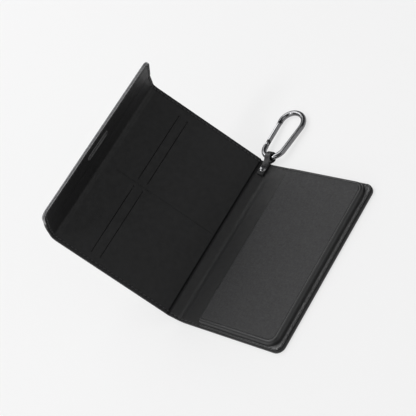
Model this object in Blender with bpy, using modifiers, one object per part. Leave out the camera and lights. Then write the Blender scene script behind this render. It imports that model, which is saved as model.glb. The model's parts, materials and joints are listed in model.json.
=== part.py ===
"""Passport holder wallet: a folding cover with a moulded passport pocket, four card slots,
a magnetic fore-edge flap and a small carabiner on a leather loop.

Units are metres, +Z is up.  X runs across the open wallet (spine towards -X, fore-edge
towards +X) and Y runs up its height.  The origin is the centre of the back cover's underside.

Every folding panel is modelled in the frame of its own fold: the fold line is the local Y
axis, the panel lies towards local -X and its inner side faces local +Z.
"""

import math

import bmesh
import bpy

MM = 0.001

# Cover panels
HEIGHT = 139.0 * MM
BACK_WIDTH = 90.9 * MM
SPINE_WIDTH = 12.0 * MM
FRONT_WIDTH = 97.0 * MM
FORE_EDGE_WIDTH = 16.0 * MM
FLAP_WIDTH = 21.5 * MM
CORNER_RADIUS = 6.5 * MM

# Angles of the folds as the wallet stands half open
SPINE_FOLD = math.radians(26.0)
COVER_FOLD = math.radians(26.0)
FORE_EDGE_FOLD = math.radians(60.0)
FLAP_FOLD = math.radians(11.0)

# Layers, from the outside in
SKIN = 0.8 * MM
LAYER_GAP = 0.1 * MM
BACK_BOARD = 1.2 * MM
BACK_LINING = 0.8 * MM
FRONT_BOARD = 0.8 * MM
CARD_BAG = 0.2 * MM
CARD_PANEL = 0.6 * MM
FOLD_LINING = 0.7 * MM
FLAP_SKIN = 0.6 * MM
FLAP_BOARD = 0.8 * MM
FLAP_LINING = 0.6 * MM
FOLD_HEIGHT = SKIN + LAYER_GAP + FOLD_LINING      # fold line above the outer face
FOLD_GAP = 0.15 * MM                              # half the gap between two skins at a fold
PANEL_SETBACK = 1.3 * MM                          # thick layers stop this far from a fold
TURNED_EDGE = 0.7 * MM                            # skin turned up round the panel's edge
EDGE_CLEARANCE = 0.1 * MM

# Passport pocket, measured from the spine fold
POCKET_MOUTH = 18.6 * MM
POCKET_WALL_INSET = 3.7 * MM                      # from the fore-edge to the pocket's wall
POCKET_SIDE_INSET = 2.3 * MM                      # from the top or bottom edge
POCKET_RISE = 5.4 * MM
POCKET_CORNER = 8.0 * MM
POCKET_RIDGE = 1.6 * MM                           # rounding along the top of the wall
POCKET_WALL = 1.0 * MM
POCKET_TOP = 1.1 * MM                             # moulded top, before the face's recess
POCKET_RECESS = 0.45 * MM
POCKET_RIDGE_WIDTH = 2.2 * MM                     # from the wall to the face's recess
POCKET_FACE = 0.35 * MM
FLANGE = 0.6 * MM
FLANGE_INSET = 0.8 * MM

# Card slots, measured from the cover fold
SLOT_FRONT = 62.4 * MM
SLOT_REAR = 70.0 * MM
SLOT_LENGTH = 57.0 * MM
SLOT_WIDTH = 0.5 * MM
COLUMN_LINE = -1.0 * MM                           # line between the two columns of slots
SLOT_CENTRE = 32.2 * MM                           # from the line between the columns
BAG_FOOT = 6.0 * MM
BAG_OVERLAP = 2.5 * MM

# Magnetic closure
MAGNET_LENGTH = 26.0 * MM
MAGNET_WIDTH = 5.5 * MM
KEEPER_LENGTH = 30.0 * MM
KEEPER_WIDTH = 7.0 * MM
MAGNET_INSET = 11.0 * MM                          # from the flap's free edge
KEEPER_INSET = 5.5 * MM                           # from the back cover's fore-edge
MAGNET_Y = -2.0 * MM

# Thread
SEAM_INSET = 1.4 * MM
THREAD_RADIUS = 0.3 * MM
THREAD_LIFT = 0.36 * MM

# Leather loop for the carabiner, on the spine strip
LOOP_OFFSET = 7.3 * MM                            # from the spine fold
LOOP_WIDTH = 5.0 * MM
LOOP_THICKNESS = 1.8 * MM                         # both legs together
LOOP_TAIL = 12.0 * MM
LOOP_REACH = 4.8 * MM                             # ring centre beyond the cover's edge
RING_INNER = 3.4 * MM
RING_OUTER = 4.4 * MM
RING_LIFT = 0.4 * MM
RIVET_SHANK = 1.2 * MM
RIVET_HEAD = 2.5 * MM
RIVET_HEAD_HEIGHT = 0.6 * MM
RIVET_HOLE = 1.35 * MM
RIVET_INSET = 7.0 * MM                            # from the cover's edge

# Carabiner, in its own plane: the ring is at its origin and the gate on its -X side
BAR_RADIUS = 2.1 * MM
FOOT_RADIUS = 8.9 * MM
SHOULDER_RADIUS = 8.9 * MM
BOW_RADIUS = 12.4 * MM
CARABINER_TOP = 44.3 * MM
GATE_PIN_Y = 12.0 * MM
GATE_START = 10.2 * MM
GATE_END = 33.5 * MM
GATE_RADIUS = 1.8 * MM
GATE_BORE = 1.15 * MM
GATE_BORE_DEPTH = 9.0 * MM
GATE_GAP = 0.35 * MM
TONGUE_THICKNESS = 1.3 * MM
TONGUE_WIDTH = 2.6 * MM
TONGUE_END = 13.8 * MM
FORK_SLOT = 1.7 * MM
FORK_DEPTH = 4.2 * MM
PIN_RADIUS = 0.55 * MM
PIN_HOLE = 0.7 * MM
SPRING_RADIUS = 0.8 * MM
SPRING_WIRE = 0.15 * MM
SPRING_TURNS = 6
CARABINER_SHIFT = 0.7 * MM                        # its foot lies off the ring's middle, towards -X
FLOOR_CLEARANCE = 0.05 * MM
CARABINER_SKEW = math.radians(4.6)                # turned in the loose ring, about the upright

ARC_STEPS = 8


# ---------------------------------------------------------------------------------------
# Scene helpers
# ---------------------------------------------------------------------------------------

def clear_scene():
    """Remove the objects of the open scene."""
    for item in list(bpy.data.objects):
        bpy.data.objects.remove(item, do_unlink=True)


def new_collection(name):
    """Make a collection in the scene."""
    collection = bpy.data.collections.new(name)
    bpy.context.scene.collection.children.link(collection)
    return collection


clear_scene()
PARTS = new_collection("passport_wallet")
CUTTERS = new_collection("cutters")


def principled(name, colour, roughness, metallic=0.0):
    """Make a material with one Principled BSDF."""
    material = bpy.data.materials.new(name)
    material.use_nodes = True
    shader = material.node_tree.nodes["Principled BSDF"]
    shader.inputs["Base Color"].default_value = (*colour, 1.0)
    shader.inputs["Roughness"].default_value = roughness
    shader.inputs["Metallic"].default_value = metallic
    return material


LEATHER = principled("black_leather", (0.016, 0.016, 0.017), 0.55)
LINING = principled("black_lining", (0.024, 0.024, 0.025), 0.62)
POCKET_GRAIN = principled("pocket_grain", (0.040, 0.040, 0.041), 0.6)
BOARD = principled("grey_board", (0.18, 0.17, 0.15), 0.85)
CLOTH = principled("pocket_cloth", (0.02, 0.02, 0.022), 0.9)
THREAD = principled("black_thread", (0.03, 0.03, 0.032), 0.6)
GUNMETAL = principled("gunmetal", (0.20, 0.20, 0.21), 0.22, 1.0)
STEEL = principled("steel", (0.45, 0.45, 0.46), 0.35, 1.0)


def fold_frame(name, parent, location, fold):
    """Make an empty whose local Y axis is a fold line turned up by fold."""
    empty = bpy.data.objects.new(name, None)
    empty.empty_display_size = 0.01
    PARTS.objects.link(empty)
    empty.parent = parent
    empty.location = location
    empty.rotation_euler = (0.0, fold, 0.0)
    return empty


def finish_node(item, parent, material):
    """Give a new solid its parent and its material."""
    item.parent = parent
    item.data.materials.clear()
    item.data.materials.append(material)
    return item


def as_cutter(item):
    """Move a solid to the cutters and show it as a wire."""
    for collection in list(item.users_collection):
        collection.objects.unlink(item)
    CUTTERS.objects.link(item)
    item.hide_render = True
    item.display_type = "WIRE"
    return item


def boolean(target, tool, operation):
    """Cut or join a target with a tool, which becomes a cutter."""
    modifier = target.modifiers.new(operation.lower() + "_" + tool.name, "BOOLEAN")
    modifier.operation = operation
    modifier.solver = "EXACT"
    modifier.object = as_cutter(tool)


def smooth_round(item, angle=math.radians(35.0)):
    """Shade a round solid smooth but keep its sharp edges."""
    item.data.shade_smooth()
    item.data.set_sharp_from_angle(angle=angle)


# ---------------------------------------------------------------------------------------
# Shape helpers
# ---------------------------------------------------------------------------------------

def arc(centre, radius, start, end, steps=ARC_STEPS):
    """Points of an arc, with the angles in degrees."""
    points = []
    for step in range(steps + 1):
        angle = math.radians(start + (end - start) * step / steps)
        points.append((centre[0] + radius * math.cos(angle), centre[1] + radius * math.sin(angle)))
    return points


def panel_outline(x0, x1, half_height, left_radius=0.0, right_radius=0.0):
    """A panel from x0 to x1 with rounded corners on either side, counter-clockwise."""
    corners = (
        (x0, -half_height, left_radius, 1, 1, 180),
        (x1, -half_height, right_radius, -1, 1, 270),
        (x1, half_height, right_radius, -1, -1, 0),
        (x0, half_height, left_radius, 1, -1, 90),
    )
    points = []
    for x, y, radius, towards_x, towards_y, start in corners:
        if radius <= 0.0:
            points.append((x, y))
            continue
        centre = (x + towards_x * radius, y + towards_y * radius)
        points.extend(arc(centre, radius, start, start + 90))
    return points


def stadium_outline(centre_x, centre_y, width, length):
    """A slot outline along Y with round ends."""
    radius = width / 2
    reach = length / 2 - radius
    low = arc((centre_x, centre_y - reach), radius, 180, 360)
    return low + arc((centre_x, centre_y + reach), radius, 0, 180)


def mesh_from_curve(curve_object):
    """Turn a curve object into a closed mesh object with the same name and place."""
    bpy.context.view_layer.update()
    evaluated = curve_object.evaluated_get(bpy.context.evaluated_depsgraph_get())
    mesh = bpy.data.meshes.new_from_object(evaluated)
    welded = bmesh.new()
    welded.from_mesh(mesh)
    bmesh.ops.remove_doubles(welded, verts=welded.verts, dist=1e-7)
    bmesh.ops.recalc_face_normals(welded, faces=welded.faces)
    welded.to_mesh(mesh)
    welded.free()
    name = curve_object.name
    matrix = curve_object.matrix_world.copy()
    bpy.data.objects.remove(curve_object, do_unlink=True)
    item = bpy.data.objects.new(name, mesh)
    item.matrix_world = matrix
    PARTS.objects.link(item)
    return item


def plate(name, outline, bottom, thickness, holes=()):
    """A flat plate: a filled outline, with optional holes, from bottom up."""
    curve = bpy.data.curves.new(name, "CURVE")
    curve.dimensions = "2D"
    curve.fill_mode = "BOTH"
    curve.extrude = thickness / 2
    for loop in (outline, *holes):
        spline = curve.splines.new("POLY")
        spline.points.add(len(loop) - 1)
        for point, (x, y) in zip(spline.points, loop):
            point.co = (x, y, 0.0, 1.0)
        spline.use_cyclic_u = True
    item = bpy.data.objects.new(name, curve)
    PARTS.objects.link(item)
    item.location = (0.0, 0.0, bottom + thickness / 2)
    return mesh_from_curve(item)


def box(name, low, high):
    """A box between two corners."""
    mesh = bpy.data.meshes.new(name)
    shape = bmesh.new()
    bmesh.ops.create_cube(shape, size=1.0)
    for vertex in shape.verts:
        vertex.co = [(a + b) / 2 + c * (b - a) for a, b, c in zip(low, high, vertex.co)]
    shape.to_mesh(mesh)
    shape.free()
    item = bpy.data.objects.new(name, mesh)
    PARTS.objects.link(item)
    return item


def cylinder(name, radius, length, centre, direction, sides=24):
    """A closed cylinder along X, Y or Z."""
    mesh = bpy.data.meshes.new(name)
    shape = bmesh.new()
    bmesh.ops.create_cone(shape, cap_ends=True, segments=sides, radius1=radius, radius2=radius, depth=length)
    shape.to_mesh(mesh)
    shape.free()
    item = bpy.data.objects.new(name, mesh)
    PARTS.objects.link(item)
    item.location = centre
    turns = {"X": (0.0, math.pi / 2, 0.0), "Y": (math.pi / 2, 0.0, 0.0), "Z": (0.0, 0.0, 0.0)}
    item.rotation_euler = turns[direction]
    return item


def tube(name, points, radius, resolution, cyclic=False):
    """A round bar or wire along points, with filled ends."""
    curve = bpy.data.curves.new(name, "CURVE")
    curve.dimensions = "3D"
    curve.bevel_depth = radius
    curve.bevel_resolution = resolution
    curve.use_fill_caps = True
    spline = curve.splines.new("POLY")
    spline.points.add(len(points) - 1)
    for point, position in zip(spline.points, points):
        point.co = (*position, 1.0)
    spline.use_cyclic_u = cyclic
    item = bpy.data.objects.new(name, curve)
    PARTS.objects.link(item)
    return mesh_from_curve(item)


# ---------------------------------------------------------------------------------------
# Panel layers
# ---------------------------------------------------------------------------------------

def skin_tray(name, parent, x0, x1, corners, depth, fold_sides):
    """A leather skin whose long edges are turned up round the board.

    corners are the left and right corner radii, and fold_sides says which of the left and
    right ends is a fold, where the skin stays flat.
    """
    half = HEIGHT / 2
    bottom = -FOLD_HEIGHT
    item = plate(name, panel_outline(x0, x1, half, *corners), bottom, depth)
    inner_x0 = x0 - MM if fold_sides[0] else x0 + TURNED_EDGE
    inner_x1 = x1 + MM if fold_sides[1] else x1 - TURNED_EDGE
    inner_radii = [max(radius - TURNED_EDGE, 0.0) for radius in corners]
    inner = panel_outline(inner_x0, inner_x1, half - TURNED_EDGE, *inner_radii)
    hollow = plate(name + "_hollow", inner, bottom + SKIN, depth)
    hollow.parent = parent
    boolean(item, hollow, "DIFFERENCE")
    for side, is_fold in enumerate(fold_sides):
        if not is_fold:
            continue
        edge = (x0, x1)[side]
        relief = box(
            name + "_relief_" + str(side),
            (edge - PANEL_SETBACK, -HEIGHT, bottom + SKIN),
            (edge + PANEL_SETBACK, HEIGHT, bottom + 2 * depth),
        )
        relief.parent = parent
        boolean(item, relief, "DIFFERENCE")
    return finish_node(item, parent, LEATHER)


def flat_layer(name, parent, outline, bottom, thickness, material, holes=()):
    """One flat layer of a panel, with its bottom given from the fold line."""
    return finish_node(plate(name, outline, bottom, thickness, holes), parent, material)


def make_back_cover(root):
    """The back cover: skin, board with its steel keeper, and base lining."""
    x1 = BACK_WIDTH
    half = HEIGHT / 2
    layer = SKIN + LAYER_GAP - FOLD_HEIGHT
    depth = SKIN + LAYER_GAP + BACK_BOARD
    skin_tray("back_cover_skin", root, FOLD_GAP, x1, (0.0, CORNER_RADIUS), depth, (True, False))

    keeper_x = x1 - KEEPER_INSET
    play = 2 * EDGE_CLEARANCE
    keeper_hole = stadium_outline(keeper_x, MAGNET_Y, KEEPER_WIDTH + play, KEEPER_LENGTH + play)
    margin = TURNED_EDGE + EDGE_CLEARANCE
    board = panel_outline(PANEL_SETBACK, x1 - margin, half - margin, 0.0, CORNER_RADIUS - margin)
    flat_layer("back_cover_board", root, board, layer, BACK_BOARD, BOARD, (keeper_hole,))
    keeper = stadium_outline(keeper_x, MAGNET_Y, KEEPER_WIDTH, KEEPER_LENGTH)
    flat_layer("magnet_keeper_plate", root, keeper, layer, BACK_BOARD, STEEL)

    lining = panel_outline(
        PANEL_SETBACK, x1 - EDGE_CLEARANCE, half - EDGE_CLEARANCE, 0.0, CORNER_RADIUS - EDGE_CLEARANCE
    )
    flat_layer("back_cover_lining", root, lining, layer + BACK_BOARD + LAYER_GAP, BACK_LINING, LINING)


def back_lining_top():
    """Height of the back cover's lining above the spine fold line."""
    return SKIN + BACK_BOARD + BACK_LINING + 2 * LAYER_GAP - FOLD_HEIGHT


def make_passport_pocket(root):
    """The moulded pocket: a flanged shell open towards the spine, and its face panel."""
    base = back_lining_top() + LAYER_GAP
    top = base + POCKET_RISE
    x0 = POCKET_MOUTH
    x1 = BACK_WIDTH - POCKET_WALL_INSET
    half = HEIGHT / 2 - POCKET_SIDE_INSET

    shell = plate("passport_pocket_shell", panel_outline(x0, x1, half, 0.0, POCKET_CORNER), base, POCKET_RISE)
    round_top_ridge(shell, x0)
    flange_outline = panel_outline(
        x0, BACK_WIDTH - FLANGE_INSET, HEIGHT / 2 - FLANGE_INSET, 0.0, CORNER_RADIUS - FLANGE_INSET
    )
    flange = plate("pocket_flange", flange_outline, base, FLANGE)
    flange.parent = root
    boolean(shell, flange, "UNION")

    inside = panel_outline(x0 - MM, x1 - POCKET_WALL, half - POCKET_WALL, 0.0, POCKET_CORNER - POCKET_WALL)
    hollow = plate("pocket_hollow", inside, base - MM, POCKET_RISE + MM - POCKET_TOP)
    hollow.parent = root
    boolean(shell, hollow, "DIFFERENCE")
    ridge = POCKET_RIDGE_WIDTH
    recess_outline = panel_outline(x0 - MM, x1 - ridge, half - ridge, 0.0, POCKET_CORNER - ridge)
    recess = plate("pocket_recess", recess_outline, top - POCKET_RECESS, MM)
    recess.parent = root
    boolean(shell, recess, "DIFFERENCE")
    finish_node(shell, root, LEATHER)

    play = ridge + EDGE_CLEARANCE
    face = panel_outline(x0 + EDGE_CLEARANCE, x1 - play, half - play, 0.0, POCKET_CORNER - play)
    face_bottom = top - POCKET_RECESS + LAYER_GAP
    flat_layer("passport_pocket_face", root, face, face_bottom, POCKET_FACE, POCKET_GRAIN)


def round_top_ridge(shell, mouth_x):
    """Round the edge between the pocket's top and its walls, but not the one across its mouth."""
    mesh = shell.data
    weights = mesh.attributes.new("bevel_weight_edge", "FLOAT", "EDGE")
    top = max(vertex.co.z for vertex in mesh.vertices)
    wall_edges = set()
    for polygon in mesh.polygons:
        if abs(polygon.normal.z) < 0.5:
            wall_edges.update(polygon.edge_keys)
    for edge in mesh.edges:
        ends = [mesh.vertices[index].co for index in edge.vertices]
        on_top = all(abs(end.z - top) < 1e-6 for end in ends)
        on_mouth = all(abs(end.x - mouth_x) < 1e-6 for end in ends)
        rounded = on_top and not on_mouth and edge.key in wall_edges
        weights.data[edge.index].value = 1.0 if rounded else 0.0
    bevel = shell.modifiers.new("ridge", "BEVEL")
    bevel.limit_method = "WEIGHT"
    bevel.width = POCKET_RIDGE
    bevel.segments = 4


def make_spine(frame):
    """The soft strip between the covers: thin skin and lining."""
    outline = panel_outline(-SPINE_WIDTH + FOLD_GAP, -FOLD_GAP, HEIGHT / 2)
    rivet_hole = arc((-LOOP_OFFSET, HEIGHT / 2 - RIVET_INSET), RIVET_HOLE, 0, 360, 24)[:-1]
    flat_layer("spine_skin", frame, outline, -FOLD_HEIGHT, SKIN, LEATHER, (rivet_hole,))
    flat_layer("spine_lining", frame, outline, -FOLD_LINING, FOLD_LINING, LINING, (rivet_hole,))


def slot_outline(mouth, centre_y):
    """The die-cut slit of one card slot."""
    left = -mouth - SLOT_WIDTH / 2
    right = -mouth + SLOT_WIDTH / 2
    low = centre_y - SLOT_LENGTH / 2
    high = centre_y + SLOT_LENGTH / 2
    return [(left, low), (right, low), (right, high), (left, high)]


def make_front_cover(frame):
    """The front cover: skin, board, four card bags and the slotted card panel."""
    x0 = -FRONT_WIDTH
    half = HEIGHT / 2
    depth = SKIN + FRONT_BOARD + 2 * (LAYER_GAP + CARD_BAG)
    skin_tray("front_cover_skin", frame, x0 + FOLD_GAP, -FOLD_GAP, (0.0, 0.0), depth, (True, True))

    margin = TURNED_EDGE + EDGE_CLEARANCE
    level = SKIN + LAYER_GAP - FOLD_HEIGHT
    thick_x0 = x0 + PANEL_SETBACK
    board = panel_outline(thick_x0, -PANEL_SETBACK, half - margin)
    flat_layer("front_cover_board", frame, board, level, FRONT_BOARD, BOARD)

    level += FRONT_BOARD + LAYER_GAP
    for row, mouth in (("rear", SLOT_REAR), ("front", SLOT_FRONT)):
        for column, centre_y in (("lower", COLUMN_LINE - SLOT_CENTRE), ("upper", COLUMN_LINE + SLOT_CENTRE)):
            low = centre_y - SLOT_LENGTH / 2 - BAG_OVERLAP
            high = centre_y + SLOT_LENGTH / 2 + BAG_OVERLAP
            rim = -mouth - BAG_OVERLAP
            bag = [(rim, low), (-BAG_FOOT, low), (-BAG_FOOT, high), (rim, high)]
            flat_layer("card_bag_" + column + "_" + row, frame, bag, level, CARD_BAG, CLOTH)
        level += CARD_BAG + LAYER_GAP

    slots = []
    for mouth in (SLOT_FRONT, SLOT_REAR):
        for centre_y in (COLUMN_LINE - SLOT_CENTRE, COLUMN_LINE + SLOT_CENTRE):
            slots.append(slot_outline(mouth, centre_y))
    panel = panel_outline(thick_x0, -PANEL_SETBACK, half - EDGE_CLEARANCE)
    flat_layer("card_panel", frame, panel, level, CARD_PANEL, LINING, slots)


def card_panel_top():
    """Height of the card panel's inner face above the fold line."""
    return SKIN + FRONT_BOARD + CARD_PANEL + 2 * CARD_BAG + 4 * LAYER_GAP - FOLD_HEIGHT


def make_fore_edge(frame):
    """The strip that wraps the fore-edge: thin skin and lining."""
    outline = panel_outline(-FORE_EDGE_WIDTH + FOLD_GAP, -FOLD_GAP, HEIGHT / 2)
    flat_layer("fore_edge_skin", frame, outline, -FOLD_HEIGHT, SKIN, LEATHER)
    flat_layer("fore_edge_lining", frame, outline, -FOLD_LINING, FOLD_LINING, LINING)


def make_flap(frame):
    """The closing flap: skin, stiffener with its magnet, lining and clasp plate."""
    half = HEIGHT / 2
    x0 = -FLAP_WIDTH
    magnet_x = x0 + MAGNET_INSET
    radius = CORNER_RADIUS
    outline = panel_outline(x0, -FOLD_GAP, half, radius, 0.0)
    flat_layer("flap_skin", frame, outline, -FOLD_HEIGHT, FLAP_SKIN, LEATHER)

    level = FLAP_SKIN + LAYER_GAP - FOLD_HEIGHT
    inset = 1.0 * MM
    play = 2 * EDGE_CLEARANCE
    stiffener = panel_outline(x0 + inset, -PANEL_SETBACK, half - inset, radius - inset, 0.0)
    window = stadium_outline(magnet_x, MAGNET_Y, MAGNET_WIDTH + play, MAGNET_LENGTH + play)
    flat_layer("flap_stiffener", frame, stiffener, level, FLAP_BOARD, BOARD, (window,))
    magnet = stadium_outline(magnet_x, MAGNET_Y, MAGNET_WIDTH, MAGNET_LENGTH)
    flat_layer("flap_magnet", frame, magnet, level, FLAP_BOARD, STEEL)

    level += FLAP_BOARD + LAYER_GAP
    lining = panel_outline(
        x0 + EDGE_CLEARANCE, -PANEL_SETBACK, half - EDGE_CLEARANCE, radius - EDGE_CLEARANCE, 0.0
    )
    flat_layer("flap_lining", frame, lining, level, FLAP_LINING, LINING, (window,))
    flat_layer("flap_clasp_plate", frame, magnet, level, FLAP_LINING, LEATHER)


# ---------------------------------------------------------------------------------------
# Thread
# ---------------------------------------------------------------------------------------

def make_seams(root, cover, flap):
    """The thread along the stitched edges, one run for each panel edge."""
    half = HEIGHT / 2 - SEAM_INSET
    start = PANEL_SETBACK + SEAM_INSET
    low = back_lining_top() + THREAD_LIFT
    high = low + LAYER_GAP + FLANGE
    edge = BACK_WIDTH - SEAM_INSET
    turn = CORNER_RADIUS - SEAM_INSET
    step_out = POCKET_MOUTH - 2.0 * MM
    step_in = POCKET_MOUTH - 0.6 * MM
    run = [(start, -half, low), (step_out, -half, low), (step_in, -half, high)]
    run += [(x, y, high) for x, y in arc((edge - turn, -half + turn), turn, 270, 360)]
    run += [(x, y, high) for x, y in arc((edge - turn, half - turn), turn, 0, 90)]
    run += [(step_in, half, high), (step_out, half, low), (start, half, low)]
    finish_node(tube("back_cover_seam", run, THREAD_RADIUS, 1), root, THREAD)

    level = card_panel_top() + THREAD_LIFT
    for name, y in (("front_cover_seam_lower", -half), ("front_cover_seam_upper", half)):
        run = [(-start, y, level), (-FRONT_WIDTH + start, y, level)]
        finish_node(tube(name, run, THREAD_RADIUS, 1), cover, THREAD)

    level = FLAP_SKIN + FLAP_BOARD + FLAP_LINING + 2 * LAYER_GAP - FOLD_HEIGHT + THREAD_LIFT
    edge = -FLAP_WIDTH + SEAM_INSET
    run = [(-start, half, level)]
    run += [(x, y, level) for x, y in arc((edge + turn, half - turn), turn, 90, 180)]
    run += [(x, y, level) for x, y in arc((edge + turn, -half + turn), turn, 180, 270)]
    run += [(-start, -half, level)]
    finish_node(tube("flap_seam", run, THREAD_RADIUS, 1), flap, THREAD)


# ---------------------------------------------------------------------------------------
# Carabiner and its loop
# ---------------------------------------------------------------------------------------

def ring_frame(spine):
    """An empty at the loop's ring, level with the ground although the spine strip slopes."""
    place = (-LOOP_OFFSET, HEIGHT / 2 + LOOP_REACH, RING_LIFT)
    return fold_frame("ring_frame", spine, place, -SPINE_FOLD)


def make_loop(spine, ring):
    """The leather loop: two legs riveted to the spine strip, and a ring round the bar."""
    y1 = HEIGHT / 2 + LOOP_REACH
    low = (-LOOP_OFFSET - LOOP_WIDTH / 2, y1 - LOOP_TAIL - LOOP_REACH, LAYER_GAP)
    high = (-LOOP_OFFSET + LOOP_WIDTH / 2, y1, LAYER_GAP + LOOP_THICKNESS)
    loop = finish_node(box("carabiner_loop", low, high), spine, LEATHER)
    outside = cylinder("ring_outside", RING_OUTER, LOOP_WIDTH, (0.0, 0.0, 0.0), "X", 28)
    outside.parent = ring
    boolean(loop, outside, "UNION")
    inside = cylinder("ring_inside", RING_INNER, 3 * LOOP_WIDTH, (0.0, 0.0, 0.0), "X", 24)
    inside.parent = ring
    boolean(loop, inside, "DIFFERENCE")

    place = (-LOOP_OFFSET, HEIGHT / 2 - RIVET_INSET, 0.0)
    hole = cylinder("loop_rivet_hole", RIVET_HOLE, 8 * MM, place, "Z", 24)
    hole.parent = spine
    boolean(loop, hole, "DIFFERENCE")
    make_rivet(spine, place)


def make_rivet(spine, place):
    """The rivet that holds the loop: a shank with a domed head at each end."""
    top = LAYER_GAP + LOOP_THICKNESS + EDGE_CLEARANCE
    bottom = -FOLD_HEIGHT - EDGE_CLEARANCE
    head = RIVET_HEAD_HEIGHT
    profile = [(0.0, top + head), (RIVET_HEAD * 0.6, top + head * 0.85), (RIVET_HEAD, top + head * 0.25)]
    profile += [(RIVET_HEAD, top), (RIVET_SHANK, top), (RIVET_SHANK, bottom), (RIVET_HEAD, bottom)]
    profile += [(RIVET_HEAD, bottom - head * 0.2), (RIVET_HEAD * 0.6, bottom - head * 0.6)]
    profile += [(0.0, bottom - head * 0.6)]
    mesh = bpy.data.meshes.new("loop_rivet")
    vertices = [(radius, 0.0, height) for radius, height in profile]
    mesh.from_pydata(vertices, [(i, i + 1) for i in range(len(vertices) - 1)], [])
    rivet = bpy.data.objects.new("loop_rivet", mesh)
    PARTS.objects.link(rivet)
    screw = rivet.modifiers.new("turn", "SCREW")
    screw.steps = 20
    screw.render_steps = 20
    screw.use_merge_vertices = True
    screw.merge_threshold = 1e-6
    screw.use_smooth_shade = True
    rivet.location = (place[0], place[1], 0.0)
    finish_node(rivet, spine, GUNMETAL)


def carabiner_path():
    """Centre line of the bar, from the gate's pivot round the foot and the bow to its nose."""
    foot = (0.0, FOOT_RADIUS)
    bow = (0.0, CARABINER_TOP - BOW_RADIUS)
    shoulder = (0.0, CARABINER_TOP - SHOULDER_RADIUS)
    lean = math.degrees(math.asin((BOW_RADIUS - FOOT_RADIUS) / (bow[1] - foot[1])))
    path = [(-FOOT_RADIUS, GATE_START - GATE_GAP)]
    path += arc(foot, FOOT_RADIUS, 180, 360 - lean, 16)
    path += arc(bow, BOW_RADIUS, -lean, 90, 12)
    path += arc(shoulder, SHOULDER_RADIUS, 90, 180, 9)[1:]
    path.append((-FOOT_RADIUS, GATE_END + GATE_GAP))
    return [(x, y, 0.0) for x, y in path]


def carabiner_frame(ring):
    """The carabiner's frame: it hangs in the ring and its bow rests on the ground."""
    bpy.context.view_layer.update()
    drop = ring.matrix_world.translation.z - BAR_RADIUS - FLOOR_CLEARANCE
    tilt = math.asin(drop / CARABINER_TOP)
    empty = fold_frame("carabiner_frame", ring, (-CARABINER_SHIFT, 0.0, 0.0), 0.0)
    empty.rotation_euler = (-tilt, 0.0, CARABINER_SKEW)
    return empty


def make_carabiner(frame):
    """The bent bar with the pivot tongue at its lower end."""
    body = finish_node(tube("carabiner_body", carabiner_path(), BAR_RADIUS, 4), frame, GUNMETAL)
    tongue = box(
        "gate_tongue",
        (-FOOT_RADIUS - TONGUE_WIDTH / 2, GATE_START - 3 * MM, -TONGUE_THICKNESS / 2),
        (-FOOT_RADIUS + TONGUE_WIDTH / 2, TONGUE_END, TONGUE_THICKNESS / 2),
    )
    tongue.parent = frame
    boolean(body, tongue, "UNION")
    hole = cylinder("tongue_hole", PIN_HOLE, 10 * MM, (-FOOT_RADIUS, GATE_PIN_Y, 0.0), "Z", 16)
    hole.parent = frame
    boolean(body, hole, "DIFFERENCE")
    smooth_round(body)


def make_gate(frame):
    """The sprung gate: a tube forked round the tongue, its pin and its coil spring."""
    middle = (-FOOT_RADIUS, (GATE_START + GATE_END) / 2, 0.0)
    gate = cylinder("carabiner_gate", GATE_RADIUS, GATE_END - GATE_START, middle, "Y", 20)
    finish_node(gate, frame, GUNMETAL)
    fork = box(
        "gate_fork_slot",
        (-FOOT_RADIUS - 3 * MM, GATE_START - MM, -FORK_SLOT / 2),
        (-FOOT_RADIUS + 3 * MM, GATE_START + FORK_DEPTH, FORK_SLOT / 2),
    )
    bore_end = GATE_START + FORK_DEPTH + GATE_BORE_DEPTH
    bore_start = GATE_START + FORK_DEPTH - MM
    bore_place = (-FOOT_RADIUS, (bore_start + bore_end) / 2, 0.0)
    bore = cylinder("gate_bore", GATE_BORE, bore_end - bore_start, bore_place, "Y", 16)
    pin_place = (-FOOT_RADIUS, GATE_PIN_Y, 0.0)
    hole = cylinder("gate_pin_hole", PIN_HOLE, 10 * MM, pin_place, "Z", 16)
    for tool in (fork, bore, hole):
        tool.parent = frame
        boolean(gate, tool, "DIFFERENCE")
    smooth_round(gate)

    pin = cylinder("gate_pivot_pin", PIN_RADIUS, 2 * GATE_RADIUS + 0.2 * MM, pin_place, "Z", 16)
    finish_node(pin, frame, STEEL)
    smooth_round(pin)

    start = GATE_START + FORK_DEPTH + 3 * SPRING_WIRE
    length = GATE_BORE_DEPTH - 6 * SPRING_WIRE
    steps = 10 * SPRING_TURNS
    coil = []
    for step in range(steps + 1):
        angle = 2 * math.pi * SPRING_TURNS * step / steps
        x = -FOOT_RADIUS + SPRING_RADIUS * math.cos(angle)
        coil.append((x, start + length * step / steps, SPRING_RADIUS * math.sin(angle)))
    finish_node(tube("gate_spring", coil, SPRING_WIRE, 1), frame, STEEL)


# ---------------------------------------------------------------------------------------
# Assembly
# ---------------------------------------------------------------------------------------

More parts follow.
